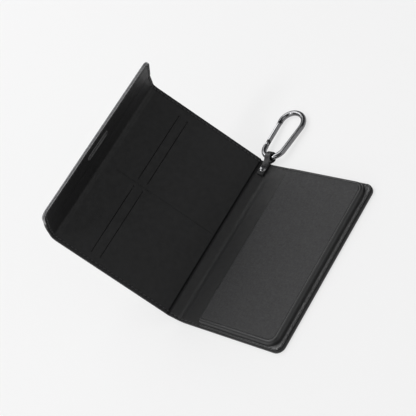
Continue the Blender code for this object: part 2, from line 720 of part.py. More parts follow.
def main():
    """Build the wallet as it stands half open."""
    root = fold_frame("back_cover_frame", None, (-BACK_WIDTH / 2, 0.0, FOLD_HEIGHT), 0.0)
    spine = fold_frame("spine_frame", root, (0.0, 0.0, 0.0), SPINE_FOLD)
    cover = fold_frame("front_cover_frame", spine, (-SPINE_WIDTH, 0.0, 0.0), COVER_FOLD)
    fore_edge = fold_frame("fore_edge_frame", cover, (-FRONT_WIDTH, 0.0, 0.0), FORE_EDGE_FOLD)
    flap = fold_frame("flap_frame", fore_edge, (-FORE_EDGE_WIDTH, 0.0, 0.0), FLAP_FOLD)

    make_back_cover(root)
    make_passport_pocket(root)
    make_spine(spine)
    make_front_cover(cover)
    make_fore_edge(fore_edge)
    make_flap(flap)
    make_seams(root, cover, flap)

    ring = ring_frame(spine)
    make_loop(spine, ring)
    carabiner = carabiner_frame(ring)
    make_carabiner(carabiner)
    make_gate(carabiner)
    bpy.context.view_layer.update()


main()
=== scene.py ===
"""Looks of the passport holder wallet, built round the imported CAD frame.

Units are metres.  The cover is one folded sheet: its skin, its lining and its stitches are laid
out along a folded track, s metres from the back cover's fore-edge, y metres up the height and
h metres above the fold line on the inner side.
"""

import itertools
import json
import math
from collections import namedtuple

import bmesh
import bpy
import numpy as np
from mathutils import Matrix, Vector


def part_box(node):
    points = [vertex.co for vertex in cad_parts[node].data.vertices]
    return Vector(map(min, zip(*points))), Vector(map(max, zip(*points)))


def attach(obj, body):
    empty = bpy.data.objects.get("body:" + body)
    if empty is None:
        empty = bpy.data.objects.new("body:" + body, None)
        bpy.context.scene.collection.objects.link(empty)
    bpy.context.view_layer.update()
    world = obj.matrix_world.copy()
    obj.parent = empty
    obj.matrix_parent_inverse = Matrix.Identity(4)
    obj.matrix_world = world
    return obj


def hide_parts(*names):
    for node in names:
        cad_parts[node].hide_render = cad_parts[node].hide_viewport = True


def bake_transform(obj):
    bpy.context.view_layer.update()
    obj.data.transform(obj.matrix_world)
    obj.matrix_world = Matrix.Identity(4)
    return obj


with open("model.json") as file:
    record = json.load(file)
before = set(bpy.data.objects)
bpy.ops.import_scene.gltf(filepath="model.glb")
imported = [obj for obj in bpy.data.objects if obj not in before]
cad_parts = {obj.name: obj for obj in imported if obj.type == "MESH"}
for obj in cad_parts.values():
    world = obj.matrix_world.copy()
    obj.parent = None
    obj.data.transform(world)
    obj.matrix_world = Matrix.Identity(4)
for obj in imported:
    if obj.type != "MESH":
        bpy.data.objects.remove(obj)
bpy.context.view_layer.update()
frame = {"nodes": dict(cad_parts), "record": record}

JOINTS = {joint["name"]: joint for joint in frame["record"]["behaviour"]["joints"]}
MM = 0.001

# Cover, as in the CAD
HALF_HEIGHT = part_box("back_cover_skin")[1].y
FORE_EDGE_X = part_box("back_cover_skin")[1].x
FLAP_WIDTH = 21.5 * MM
FLAP_FOLD = math.radians(11.0)
CORNER = 6.5 * MM
FOLD_RADII = (11.0 * MM, 4.5 * MM, 5.0 * MM, 6.0 * MM)
OUTER = -1.6 * MM                 # outer face below the fold line
LINING_SEAT = -0.70 * MM          # underside of the lining where the cover is thin
SKIN_FLOOR = -0.82 * MM           # inner side of the skin
PANEL_RISE = 1.4 * MM             # the lining stands higher over the boards
FLAP_RISE = 0.6 * MM
FLANGE_RISE = 0.7 * MM            # the pocket's flange on the back cover's lining
FOLD_RELIEF = 0.25 * MM           # the skin draws in between the boards

# Stitching
PITCH = 3.4 * MM
BACK_SEAM = 1.4 * MM
FRONT_SEAM = 2.3 * MM
STITCH_LENGTH = 2.5 * MM
THREAD_RADIUS = 0.30 * MM
GROOVE_DEPTH = 0.16 * MM
GROOVE_WIDTH = 0.42 * MM
HOLE_DEPTH = 0.30 * MM

# Card slots, measured from the cover fold
SLOT_PLACES = (62.4 * MM, 70.0 * MM)
SLOT_HALF_LENGTH = 28.5 * MM
COLUMN_LINE = -1.0 * MM
SLOT_CENTRES = (COLUMN_LINE - 32.2 * MM, COLUMN_LINE + 32.2 * MM)
SLOT_HALF_WIDTH = 0.25 * MM
SLOT_DEPTH = 0.6 * MM
SLOT_LIP = 0.22 * MM
NOTCH_RADIUS = 0.6 * MM
DIVIDER_END = 88.0 * MM

# Clasp plate on the flap
CLASP_INSET = 11.0 * MM
CLASP_Y = -2.0 * MM

# Passport pocket
POCKET_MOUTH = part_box("passport_pocket_shell")[0].x
POCKET_RIGHT = FORE_EDGE_X - 3.7 * MM
POCKET_HALF = HALF_HEIGHT - 2.3 * MM
POCKET_CORNER = 8.0 * MM
POCKET_BASE = 3.0 * MM
POCKET_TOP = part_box("passport_pocket_shell")[1].z
POCKET_ROWS = 60                  # points up the height of each level
FLANGE_INSET = 0.8 * MM
FLANGE_TOP = POCKET_BASE + FLANGE_RISE
FACE_SEAT = POCKET_TOP - 0.5 * MM # step inside the bead, where the face lies

# Loop and carabiner
LOOP_OFFSET = 7.3 * MM
LOOP_WIDTH = 5.0 * MM
STRAP = 0.85 * MM
LOOP_TAIL = 12.0 * MM
RIVET_INSET = 7.0 * MM
RING_RADIUS = 3.95 * MM
RING_HEIGHT = 0.4 * MM            # the strap's ring above the fold line
BAR_RADIUS = 2.1 * MM
FOOT_RADIUS = 8.9 * MM
BOW_RADIUS = 12.4 * MM
SHOULDER_RADIUS = 8.9 * MM
CARABINER_TOP = 44.3 * MM
CARABINER_SKEW = math.radians(4.6)
GATE_RADIUS = 1.8 * MM
GATE_START = 10.2 * MM
GATE_END = 33.5 * MM
GATE_GAP = 0.35 * MM
GATE_PIN = 12.0 * MM

STEP = PITCH / 6


# ---- Materials ----

class Finish:
    """A Principled material and short calls that add texture nodes to it."""

    def __init__(self, name, colour, roughness, metallic=0.0, specular=0.5):
        self.material = bpy.data.materials.new(name)
        self.material.use_nodes = True
        self.tree = self.material.node_tree
        self.shader = self.tree.nodes["Principled BSDF"]
        self.set("Base Color", (*colour, 1.0))
        self.set("Roughness", roughness)
        self.set("Metallic", metallic)
        self.set("Specular IOR Level", specular)
        self.place = self.tree.nodes.new("ShaderNodeTexCoord").outputs["Object"]
        self.normal = None

    def set(self, socket, value):
        """Set one of the shader's own sockets."""
        self.shader.inputs[socket].default_value = value

    def node(self, kind, links=(), **values):
        """Add a node, link its inputs and set its other inputs by name."""
        node = self.tree.nodes.new(kind)
        for socket, value in values.items():
            name = socket.replace("_", " ").title()
            node.inputs[name].default_value = value
        for socket, output in links:
            self.tree.links.new(output, node.inputs[socket])
        return node

    def stretched(self, x, y, z):
        """The object's coordinates scaled along each axis."""
        node = self.node("ShaderNodeMapping", [("Vector", self.place)])
        node.inputs["Scale"].default_value = (x, y, z)
        return node.outputs["Vector"]

    def noise(self, scale, detail=3.0, roughness=0.55, place=None):
        """A noise from 0 to 1."""
        links = [("Vector", place or self.place)]
        node = self.node("ShaderNodeTexNoise", links, scale=scale, detail=detail, roughness=roughness)
        return node.outputs["Fac"]

    def cells(self, scale):
        """Distance to the nearest cell centre."""
        return self.node("ShaderNodeTexVoronoi", [("Vector", self.place)], scale=scale).outputs["Distance"]

    def waves(self, scale, direction, distortion):
        """Even parallel waves from 0 to 1."""
        links = [("Vector", self.place)]
        node = self.node("ShaderNodeTexWave", links, scale=scale, distortion=distortion, detail=1.0)
        node.bands_direction = direction
        return node.outputs["Fac"]

    def joined(self, first, second, operation):
        """Two values joined by a calculation."""
        node = self.node("ShaderNodeMath", [(0, first), (1, second)])
        node.operation = operation
        return node.outputs[0]

    def spread(self, value, low, high, to_low, to_high):
        """A value mapped from one range to another and held inside it."""
        limits = {"from_min": low, "from_max": high, "to_min": to_low, "to_max": to_high}
        return self.node("ShaderNodeMapRange", [("Value", value)], **limits).outputs["Result"]

    def tint(self, value, dark, light):
        """Let the base colour change between two colours."""
        node = self.node("ShaderNodeValToRGB", [("Fac", value)])
        node.color_ramp.elements[0].color = (*dark, 1.0)
        node.color_ramp.elements[1].color = (*light, 1.0)
        self.feed("Base Color", node.outputs["Color"])

    def gloss(self, value, low, high, span=(0.3, 0.7)):
        """Let the roughness change between two values."""
        self.feed("Roughness", self.spread(value, *span, low, high))

    def bump(self, height, depth, strength=1.0):
        """Add a relief of the given depth in metres on top of what is there."""
        links = [("Height", height)]
        if self.normal is not None:
            links.append(("Normal", self.normal))
        node = self.node("ShaderNodeBump", links, strength=strength, distance=depth)
        self.normal = node.outputs["Normal"]
        self.feed("Normal", self.normal)

    def feed(self, socket, output):
        """Link a texture to one of the shader's own sockets."""
        self.tree.links.new(output, self.shader.inputs[socket])


def leather(name, dark, light, grain, depth, roughness, specular=0.5):
    """Coated leather: rounded grain cells, fine pores, and uneven gloss and colour."""
    finish = Finish(name, dark, sum(roughness) / 2, specular=specular)
    mottling = finish.noise(75.0, 5.0)
    finish.tint(mottling, dark, light)
    finish.gloss(finish.noise(260.0, 3.0), *roughness)
    finish.bump(finish.noise(60.0, 2.0), 0.06 * MM, 0.25)
    finish.bump(finish.cells(grain), depth, 0.85)
    finish.bump(finish.noise(grain * 2.6, 4.0, 0.7), depth * 0.5, 0.5)
    return finish.material


def cover_material():
    """The skin's smooth black leather."""
    dark, light = (0.007, 0.007, 0.0073), (0.010, 0.010, 0.0104)
    return leather("cover_leather_black", dark, light, 1700.0, 0.09 * MM, (0.42, 0.54))


def lining_material():
    """The lining's matt black leather."""
    dark, light = (0.0065, 0.0065, 0.0067), (0.009, 0.009, 0.0093)
    return leather("lining_leather_black", dark, light, 2100.0, 0.05 * MM, (0.50, 0.62), 0.36)


def moulded_material():
    """The fine-grained leather of the pocket's wall and bead."""
    dark, light = (0.009, 0.009, 0.0093), (0.014, 0.014, 0.0145)
    return leather("moulded_leather_black", dark, light, 2300.0, 0.05 * MM, (0.36, 0.46))


def pebbled_material():
    """The coarser, glossier leather of the pocket's flange."""
    dark, light = (0.011, 0.011, 0.0113), (0.024, 0.024, 0.0247)
    return leather("pebbled_leather_black", dark, light, 1300.0, 0.16 * MM, (0.26, 0.40), 0.75)


def pocket_face_material():
    """Charcoal coated cloth with a brushed cross grain."""
    finish = Finish("pocket_face_grain", (0.02, 0.02, 0.021), 0.62, specular=0.35)
    across = finish.noise(1.0, 3.0, 0.65, finish.stretched(420.0, 2600.0, 900.0))
    along = finish.noise(1.0, 3.0, 0.65, finish.stretched(2600.0, 420.0, 900.0))
    grain = finish.spread(finish.joined(across, along, "MULTIPLY"), 0.12, 0.42, 0.0, 1.0)
    finish.tint(grain, (0.015, 0.015, 0.0155), (0.027, 0.027, 0.028))
    finish.gloss(grain, 0.72, 0.50, (0.0, 1.0))
    finish.bump(finish.noise(30.0, 2.0), 0.2 * MM, 0.2)
    finish.bump(grain, 0.05 * MM, 0.8)
    return finish.material


def thread_material():
    """Twisted black polyester thread."""
    finish = Finish("stitch_thread", (0.012, 0.012, 0.0125), 0.45)
    finish.set("Sheen Weight", 0.12)
    fibres = finish.noise(5200.0, 2.0)
    finish.tint(fibres, (0.006, 0.006, 0.0065), (0.020, 0.020, 0.021))
    finish.bump(fibres, 0.04 * MM, 0.7)
    return finish.material


def glossy_edge_with_painted_highlight_material():
    """Painted and polished leather edge; its light grey colour is a painted highlight for the light the
    flap's free edge catches.
    """
    finish = Finish("glossy_edge_and_painted_highlight", (0.13, 0.13, 0.135), 0.22, specular=0.8)
    finish.set("Coat Weight", 0.8)
    finish.set("Coat Roughness", 0.12)
    finish.gloss(finish.noise(500.0, 3.0), 0.18, 0.34)
    finish.bump(finish.noise(700.0, 3.0), 0.05 * MM, 0.35)
    return finish.material


def clasp_material():
    """Glossy black enamel over the magnet."""
    finish = Finish("clasp_enamel", (0.035, 0.035, 0.036), 0.3, specular=0.7)
    finish.set("Coat Weight", 0.5)
    finish.set("Coat Roughness", 0.2)
    finish.gloss(finish.noise(400.0, 3.0), 0.24, 0.38)
    finish.bump(finish.noise(1100.0, 3.0), 0.03 * MM, 0.4)
    return finish.material


def gunmetal_material():
    """Dark polished plating with faint brushing and scuffs."""
    finish = Finish("gunmetal_plating", (0.19, 0.19, 0.195), 0.2, metallic=1.0)
    smudges = finish.noise(120.0, 4.0)
    finish.tint(smudges, (0.15, 0.15, 0.155), (0.24, 0.24, 0.245))
    finish.gloss(smudges, 0.14, 0.27)
    finish.bump(finish.noise(2400.0, 2.0), 0.01 * MM, 0.3)
    return finish.material


def steel_material():
    """Plain drawn steel."""
    finish = Finish("plain_steel", (0.42, 0.42, 0.43), 0.34, metallic=1.0)
    streaks = finish.noise(1.0, 3.0, 0.6, finish.stretched(300.0, 2500.0, 2500.0))
    finish.gloss(streaks, 0.26, 0.44)
    finish.bump(streaks, 0.01 * MM, 0.4)
    return finish.material


def board_material():
    """Raw grey board with visible fibres."""
    finish = Finish("grey_board", (0.19, 0.18, 0.16), 0.9)
    fibres = finish.noise(900.0, 5.0, 0.7)
    finish.tint(fibres, (0.13, 0.12, 0.105), (0.26, 0.25, 0.22))
    finish.bump(fibres, 0.08 * MM, 0.6)
    return finish.material


def bag_cloth_material():
    """Thin black lining cloth in a plain weave."""
    finish = Finish("card_bag_weave", (0.02, 0.02, 0.022), 0.85)
    finish.set("Sheen Weight", 0.25)
    warp = finish.waves(500.0, "Y", 0.4)
    weft = finish.waves(500.0, "Z", 0.4)
    weave = finish.joined(warp, weft, "MAXIMUM")
    finish.tint(weave, (0.012, 0.012, 0.013), (0.032, 0.032, 0.035))
    finish.bump(weave, 0.05 * MM, 0.8)
    return finish.material


def floor_material():
    """Pale matt studio floor."""
    finish = Finish("pale_floor", (0.18, 0.18, 0.18), 0.9, specular=0.1)
    finish.set("Emission Color", (1.0, 1.0, 1.0, 1.0))
    finish.set("Emission Strength", 0.70)
    finish.gloss(finish.noise(8.0), 0.85, 0.95)
    return finish.material


COVER = cover_material()
LINING = lining_material()
MOULDED = moulded_material()
PEBBLED = pebbled_material()
FACE = pocket_face_material()
THREAD = thread_material()
GLOSSY_EDGE_AND_PAINTED_HIGHLIGHT = glossy_edge_with_painted_highlight_material()
ENAMEL = clasp_material()
GUNMETAL = gunmetal_material()
STEEL = steel_material()
BOARD = board_material()
BAG_CLOTH = bag_cloth_material()


# ---- The folded track ----

def smooth(value):
    """Smooth step from 0 to 1."""
    value = np.clip(value, 0.0, 1.0)
    return value * value * (3.0 - 2.0 * value)


def ramp(s, start, end):
    """Smooth step between two places along the track."""
    return smooth((np.asarray(s, float) - start) / (end - start))


FOLD_JOINTS = ("spine_fold", "cover_fold", "fore_edge_fold", "flap_fold")
TRACK_SAMPLES = 24001


class Track:
    """The fold line seen along Y: straight panels joined by rounded folds."""

    def __init__(self):
        corners = [Vector((FORE_EDGE_X, 0.0, JOINTS["spine_fold"]["pos_m"][2]))]
        corners += [Vector(JOINTS[name]["pos_m"]) for name in FOLD_JOINTS]
        lengths = [(b - a).length for a, b in zip(corners, corners[1:])] + [FLAP_WIDTH]
        headings = [math.atan2(b.z - a.z, a.x - b.x) for a, b in zip(corners, corners[1:])]
        headings.append(headings[-1] + FLAP_FOLD)
        knots, angles, self.folds, self.setbacks = [0.0], [headings[0]], [], []
        used = 0.0
        for i, radius in enumerate(FOLD_RADII):
            turn = headings[i + 1] - headings[i]
            setback = radius * math.tan(turn / 2)
            start = knots[-1] + lengths[i] - used - setback
            end = start + radius * turn
            knots += [start, end]
            angles += [headings[i], headings[i + 1]]
            self.folds.append((start + end) / 2)
            self.setbacks.append(setback - radius * turn / 2)
            used = setback
        self.length = knots[-1] + lengths[-1] - used
        fine = np.linspace(0.0, self.length, TRACK_SAMPLES)
        heading = np.interp(fine, knots, angles)
        middle = (heading[1:] + heading[:-1]) / 2
        step = fine[1] - fine[0]
        self.fine = fine
        self.heading = heading
        self.x = FORE_EDGE_X - np.concatenate([[0.0], np.cumsum(np.cos(middle)) * step])
        self.z = corners[0].z + np.concatenate([[0.0], np.cumsum(np.sin(middle)) * step])

    def after(self, fold, distance):
        """Place along the track at a distance past a fold's sharp corner."""
        return self.folds[fold] + distance - math.copysign(self.setbacks[fold], distance)

    def points(self, s, y, h):
        """Points in space, h above the fold line on the inner side."""
        s, y, h = np.broadcast_arrays(np.asarray(s, float), y, h)
        turn = np.interp(s, self.fine, self.heading)
        x = np.interp(s, self.fine, self.x) + h * np.sin(turn)
        z = np.interp(s, self.fine, self.z) + h * np.cos(turn)
        return np.stack([x, y, z], axis=-1)


TRACK = Track()
SPINE, COVER_FOLD, FORE_EDGE, FLAP = range(4)
SLOT_LINES = [TRACK.after(COVER_FOLD, slot) for slot in SLOT_PLACES]
SEAM_CORNERS = (CORNER - BACK_SEAM, CORNER - FRONT_SEAM)
SEAM_LEADS = [HALF_HEIGHT - 2 * CORNER + radius * math.pi / 2 for radius in SEAM_CORNERS]
SEAM_LENGTH = sum(SEAM_LEADS) + TRACK.length
STITCHES = round(SEAM_LENGTH / PITCH)
STITCH_PITCH = SEAM_LENGTH / STITCHES


def past(s, fold, start, end):
    """Smooth step between two places given in millimetres past a fold."""
    return ramp(s, TRACK.after(fold, start * MM), TRACK.after(fold, end * MM))


def rise(s):
    """How far the lining stands above the fold line: high over boards, low at the folds."""
    back = 1.0 - past(s, SPINE, -1.6, 4.4)
    front = past(s, COVER_FOLD, 0.3, 1.3) - past(s, FORE_EDGE, -1.4, 3.6)
    return PANEL_RISE * (back + front) + FLAP_RISE * past(s, FLAP, -1.8, 1.3)


def outer_relief(s):
    """How far the skin draws in at the thin stretches between the boards."""
    spine = past(s, SPINE, -2.0, 1.2) - past(s, COVER_FOLD, -1.2, 2.0)
    strip = past(s, FORE_EDGE, -2.5, 1.2) - past(s, FLAP, -1.2, 2.5)
    return FOLD_RELIEF * (spine + strip)


def seam_inset(s):
    """Distance of the stitches from the edge: close on the back cover, further in elsewhere."""
    share = ramp(s, TRACK.after(SPINE, 0.0), TRACK.after(COVER_FOLD, 0.0))
    return BACK_SEAM + (FRONT_SEAM - BACK_SEAM) * share


def seam_dent(s, inset, seam):
    """Depth of the stitched groove and of the needle holes in it."""
    across = np.exp(-(((inset - seam_inset(s)) / GROOVE_WIDTH) ** 2))
    hole = np.cos(np.pi * seam / STITCH_PITCH) ** 8
    return across * (GROOVE_DEPTH + HOLE_DEPTH * hole)


def undulation(s, y):
    """Slow, shallow unevenness of glued leather."""
    waves = np.sin(s * 95.0 + 1.3) * np.cos(y * 71.0 + 0.4) + 0.6 * np.sin(s * 173.0 - y * 129.0)
    return 0.05 * MM * waves


def card_panel_relief(s, y):
    """Card slots with their lifted lips, and the pressed line between the two columns."""
    relief = np.zeros_like(s)
    for middle in SLOT_LINES:
        for centre in SLOT_CENTRES:
            reach = np.abs(y - centre)
            inside = reach < SLOT_HALF_LENGTH + 0.01 * MM
            taper = 1.0 - smooth((reach - SLOT_HALF_LENGTH + 6 * MM) / (6 * MM))
            before = np.clip((middle - SLOT_HALF_WIDTH - s) / (5 * MM), 0.0, 1.0)
            lip = np.where(s < middle, (1.0 - smooth(before)) * taper, 0.0)
            relief += SLOT_LIP * lip * inside
            cut = inside & (np.abs(s - middle) < SLOT_HALF_WIDTH * 1.01)
            cut |= np.hypot(s - middle, reach - SLOT_HALF_LENGTH) < NOTCH_RADIUS
            relief -= SLOT_DEPTH * cut
    end = TRACK.after(COVER_FOLD, DIVIDER_END)
    stretch = past(s, COVER_FOLD, 3.0, 5.0) * (1.0 - ramp(s, end - MM, end))
    relief -= 0.22 * MM * stretch * np.exp(-(((y - COLUMN_LINE) / (0.32 * MM)) ** 2))
    return relief


# ---- Mesh helpers ----

def in_scene(name, data):
    """A new object in the scene."""
    item = bpy.data.objects.new(name, data)
    bpy.context.scene.collection.objects.link(item)
    return item


def link(name, mesh, material):
    """Put a mesh in the scene, shaded smooth, with its material."""
    item = in_scene(name, mesh)
    mesh.materials.append(material)
    mesh.shade_smooth()
    return item


def welded_mesh(name, points, faces, outward=True, gap=1e-7):
    """A mesh with coincident points joined, and its faces turned outward if it is closed."""
    mesh = bpy.data.meshes.new(name)
    mesh.from_pydata(np.asarray(points).tolist(), [], faces)
    shape = bmesh.new()
    shape.from_mesh(mesh)
    bmesh.ops.remove_doubles(shape, verts=shape.verts, dist=gap)
    bmesh.ops.dissolve_degenerate(shape, edges=shape.edges, dist=gap)
    if outward:
        bmesh.ops.recalc_face_normals(shape, faces=shape.faces)
    shape.to_mesh(mesh)
    shape.free()
    return mesh


def closed_piece(name, points, faces, material, sharp):
    """A closed, smooth piece whose edges are sharp above an angle in degrees."""
    mesh = welded_mesh(name, points, faces)
    item = link(name, mesh, material)
    mesh.set_sharp_from_angle(angle=math.radians(sharp))
    return item


def grid_quads(rows, columns, first=0):
    """Quads of a grid of points stored row by row."""
    quads = []
    for row in range(rows - 1):
        for column in range(columns - 1):
            a = first + row * columns + column
            quads.append((a, a + 1, a + columns + 1, a + columns))
    return quads


def tube_faces(rings, sides, capped=True):
    """Quads between closed rings of points stored one after another, and a cap at each end."""
    faces = []
    for ring in range(rings - 1):
        for side in range(sides):
            a, b = ring * sides + side, ring * sides + (side + 1) % sides
            faces.append((a, b, b + sides, a + sides))
    if capped:
        faces.append(tuple(reversed(range(sides))))
        faces.append(tuple(range((rings - 1) * sides, rings * sides)))
    return faces


def stations(start, end, step, extra=()):
    """Even places from start to end, with extra places between them."""
    count = max(2, round(abs(end - start) / step) + 1)
    places = list(np.linspace(start, end, count))
    for place in extra:
        if min(start, end) < place < max(start, end):
            places = [other for other in places if abs(other - place) > 0.05 * MM or other in (start, end)]
            places.append(place)
    return np.array(sorted(places, reverse=end < start))


def across_stations():
    """Places up the height between the corners, closer at the slot ends and the pressed line."""
    reach = HALF_HEIGHT - CORNER
    extra = [COLUMN_LINE + shift * MM for shift in (-0.8, -0.5, -0.32, -0.16, 0.0, 0.16, 0.32, 0.5, 0.8)]
    for centre in SLOT_CENTRES:
        for side in (-1, 1):
            end = centre + side * SLOT_HALF_LENGTH
            extra += [end + shift * MM for shift in (-0.62, -0.5, -0.3, -0.1, 0.1, 0.3, 0.5, 0.62)]
    even = np.linspace(-reach, reach, 33)
    kept = [y for y in even if all(abs(y - other) > 0.3 * MM for other in extra)]
    return np.array(sorted(kept + extra))


def slot_stations():
    """Places along the track that the card slots need."""
    shifts = (-1.2, -0.62, -0.45, -0.31, -0.25, 0.0, 0.25, 0.31, 0.45, 0.62)
    return [middle + shift * MM for middle in SLOT_LINES for shift in shifts]


ACROSS = across_stations()


# ---- Cover layers ----

def open_layout(start, end, insets):
    """Grid for a stretch with both ends cut: flat arrays of s, y, row and seam, quads and cuts."""
    s = stations(start, end, STEP, slot_stations())
    edge = HALF_HEIGHT - np.array(insets)
    y = np.concatenate([-edge, ACROSS[1:-1], edge[::-1]])
    edge_rows = np.arange(len(insets))
    rows = np.concatenate([edge_rows, np.full(len(ACROSS) - 2, len(insets) - 1), edge_rows[::-1]])
    grid_s, grid_y = np.meshgrid(s, y, indexing="ij")
    grid_rows = np.broadcast_to(rows, grid_s.shape)
    seam = SEAM_LEADS[0] + grid_s
    count = len(y)
    last = (len(s) - 1) * count
    cuts = [list(range(count)), list(range(last, last + count))]
    return grid_s.ravel(), grid_y.ravel(), grid_rows.ravel(), seam.ravel(), grid_quads(len(s), count), cuts


def ring_outline(inset, reach, steps=10):
    """One ring of a stretch with a free end: places q from that end, y, and seam distance."""
    low = HALF_HEIGHT - CORNER
    radius = CORNER - inset
    turn = np.linspace(0.0, math.pi / 2, steps + 1)[1:-1]
    side_q = np.concatenate([reach, CORNER - radius * np.sin(turn)])
    side_y = np.concatenate([np.full(len(reach), HALF_HEIGHT - inset), low + radius * np.cos(turn)])
    q = np.concatenate([side_q, np.full(len(ACROSS), inset), side_q[::-1]])
    y = np.concatenate([-side_y, ACROSS, side_y[::-1]])
    return q, y, turn


def free_layout(start, end, insets, back):
    """Grid for a stretch with a rounded free end; back says which end of the cover it is."""
    cut = end if back else TRACK.length - start
    reach = stations(cut, CORNER, STEP)
    seam_radius = SEAM_CORNERS[0 if back else 1]
    low = HALF_HEIGHT - CORNER
    q, y, rows = [], [], []
    for row, inset in enumerate(insets):
        ring_q, ring_y, turn = ring_outline(inset, reach)
        q.append(ring_q)
        y.append(ring_y)
        rows.append(np.full(len(ring_q), row))
    count = len(q[0])
    straight_seam = low + seam_radius * math.pi / 2 + reach - CORNER
    corner_seam = low + seam_radius * (math.pi / 2 - turn)
    ring_seam = np.concatenate(
        [straight_seam, corner_seam, np.abs(ACROSS), corner_seam[::-1], straight_seam[::-1]]
    )
    seam = [ring_seam] * len(insets)
    quads = grid_quads(len(insets), count)
    first = count * len(insets)
    inner_q, inner_y = np.meshgrid(reach, ACROSS, indexing="ij")
    q.append(inner_q.ravel())
    y.append(inner_y.ravel())
    rows.append(np.full(inner_q.size, len(insets) - 1))
    seam.append(np.zeros(inner_q.size))
    quads += grid_quads(len(reach), len(ACROSS), first)
    low_side = [row * count for row in range(len(insets))]
    high_side = [row * count + count - 1 for row in reversed(range(len(insets)))]
    cut_line = low_side + list(range(first, first + len(ACROSS))) + high_side
    q, seam = np.concatenate(q), np.concatenate(seam)
    s = q if back else TRACK.length - q
    seam = seam if back else SEAM_LENGTH - seam
    return s, np.concatenate(y), np.concatenate(rows), seam, quads, [cut_line]


def layout(stretch, insets):
    """Grid of one side of a layer for a stretch of the cover."""
    if stretch.free is None:
        return open_layout(stretch.start, stretch.end, insets)
    return free_layout(stretch.start, stretch.end, insets, stretch.free == "back")


def layer_side(stretch, rows, shape):
    """Points, quads and cut lines of one side of a layer from its rows and its relief."""
    insets, heights, shares = (np.array(column) for column in zip(*rows))
    s, y, row, seam, quads, cuts = layout(stretch, insets)
    h = heights[row] + shares[row] * rise(s)
    h = h + shape(s, y, insets[row], seam, row)
    return TRACK.points(s, y, h), quads, cuts


def closed_layer(name, stretch, outer, inner, material):
    """A closed layer of the cover from its outer and inner sides."""
    outer_points, quads, cuts = layer_side(stretch, *outer)
    inner_points, _, _ = layer_side(stretch, *inner)
    shift = len(outer_points)
    faces = list(quads) + [tuple(shift + i for i in reversed(quad)) for quad in quads]
    for cut in cuts:
        for a, b in zip(cut, cut[1:]):
            faces.append((a, b, shift + b, shift + a))
    return closed_piece(name, np.concatenate([outer_points, inner_points]), faces, material, 60.0)


EDGE_ROWS = 4                     # rows on the rounded edge, which has no stitches
INNER_INSETS = (1.05, 1.3, 1.6, 1.9, 2.2, 2.5, 2.85, 3.3, 4.2, 6.5)


def in_metres(rows):
    """Rows of (inset, height, share of the rise) from millimetres."""
    return [(inset * MM, height * MM, share) for inset, height, share in rows]


def skin_rows():
    """Edge rows of the skin: the outer side with its rounded edge, and the turned-over lip."""
    outer = [(0.0, -1.15, 0.35), (0.03, -1.32, 0.18), (0.14, -1.46, 0.06), (0.34, -1.56, 0.0)]
    outer += [(inset, OUTER / MM, 0.0) for inset in (0.62, *INNER_INSETS)]
    lip = [(0.0, -1.15, 0.35), (0.02, -1.0, 0.65), (0.10, -0.86, 0.90), (0.28, -0.76, 1.0)]
    lip += [(0.62, -0.74, 1.0), (1.05, -0.74, 1.0), (1.15, SKIN_FLOOR / MM, 0.0)]
    lip += [(inset, SKIN_FLOOR / MM, 0.0) for inset in INNER_INSETS[2:]]
    return in_metres(outer), in_metres(lip)


def lining_rows():
    """Edge rows of the lining: its underside and its stitched inner face."""
    seat = LINING_SEAT / MM + 0.02
    under = [(0.16, -0.36, 1.0), (0.20, -0.50, 1.0), (0.32, seat, 1.0), (0.5, seat, 1.0)]
    under += [(inset, seat, 1.0) for inset in (0.72, *INNER_INSETS)]
    face = [(0.16, -0.36, 1.0), (0.19, -0.18, 1.0), (0.30, -0.05, 1.0), (0.48, -0.01, 1.0)]
    face += [(inset, 0.0, 1.0) for inset in (0.75, *INNER_INSETS)]
    return in_metres(under), in_metres(face)


def skin_outside(s, y, inset, seam, row):
    """Relief of the skin's outer side."""
    settled = smooth(inset / MM)
    return outer_relief(s) + seam_dent(s, inset, seam) * (row >= EDGE_ROWS) + undulation(s, y) * settled


def plain(s, y, inset, seam, row):
    """No relief."""
    return np.zeros_like(s)


def lining_inside(s, y, inset, seam, row):
    """Relief of the lining's inner face."""
    settled = smooth(inset / MM)
    relief = undulation(s, y) * settled + card_panel_relief(s, y)
    return relief - seam_dent(s, inset, seam) * (row >= EDGE_ROWS)


MID_SPINE = (TRACK.folds[SPINE] + TRACK.folds[COVER_FOLD]) / 2
MID_FRONT = (TRACK.folds[COVER_FOLD] + TRACK.folds[FORE_EDGE]) / 2
MID_STRIP = (TRACK.folds[FORE_EDGE] + TRACK.folds[FLAP]) / 2
Stretch = namedtuple("Stretch", "name start end free fold reach bodies skin lining thread")
STRETCHES = (
    Stretch("back", 0.0, MID_SPINE, "back", SPINE, 4.0 * MM, ("back_cover", "spine"),
            ["back_cover_skin"], ["back_cover_lining"], "back_cover_seam"),
    Stretch("spine", MID_SPINE, MID_FRONT, None, COVER_FOLD, 4.0 * MM, ("spine", "front_cover"),
            ["spine_skin"], ["spine_lining"], "front_cover_seam_lower"),
    Stretch("front", MID_FRONT, MID_STRIP, None, FORE_EDGE, 3.8 * MM, ("front_cover", "fore_edge"),
            ["front_cover_skin"], ["card_panel"], "front_cover_seam_upper"),
    Stretch("flap", MID_STRIP, TRACK.length, "flap", FLAP, 4.5 * MM, ("fore_edge", "flap"),
            ["fore_edge_skin", "flap_skin"], ["fore_edge_lining", "flap_lining"], "flap_seam"),
)


def bend_with_fold(piece, stretch):
    """Bake a piece of the cover's placement into its mesh; the points round its fold are found but not used.
    """
    middle, reach = TRACK.folds[stretch.fold], stretch.reach
    start = TRACK.points(middle - reach, 0.0, 0.0)
    end = TRACK.points(middle + reach, 0.0, 0.0)
    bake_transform(piece)


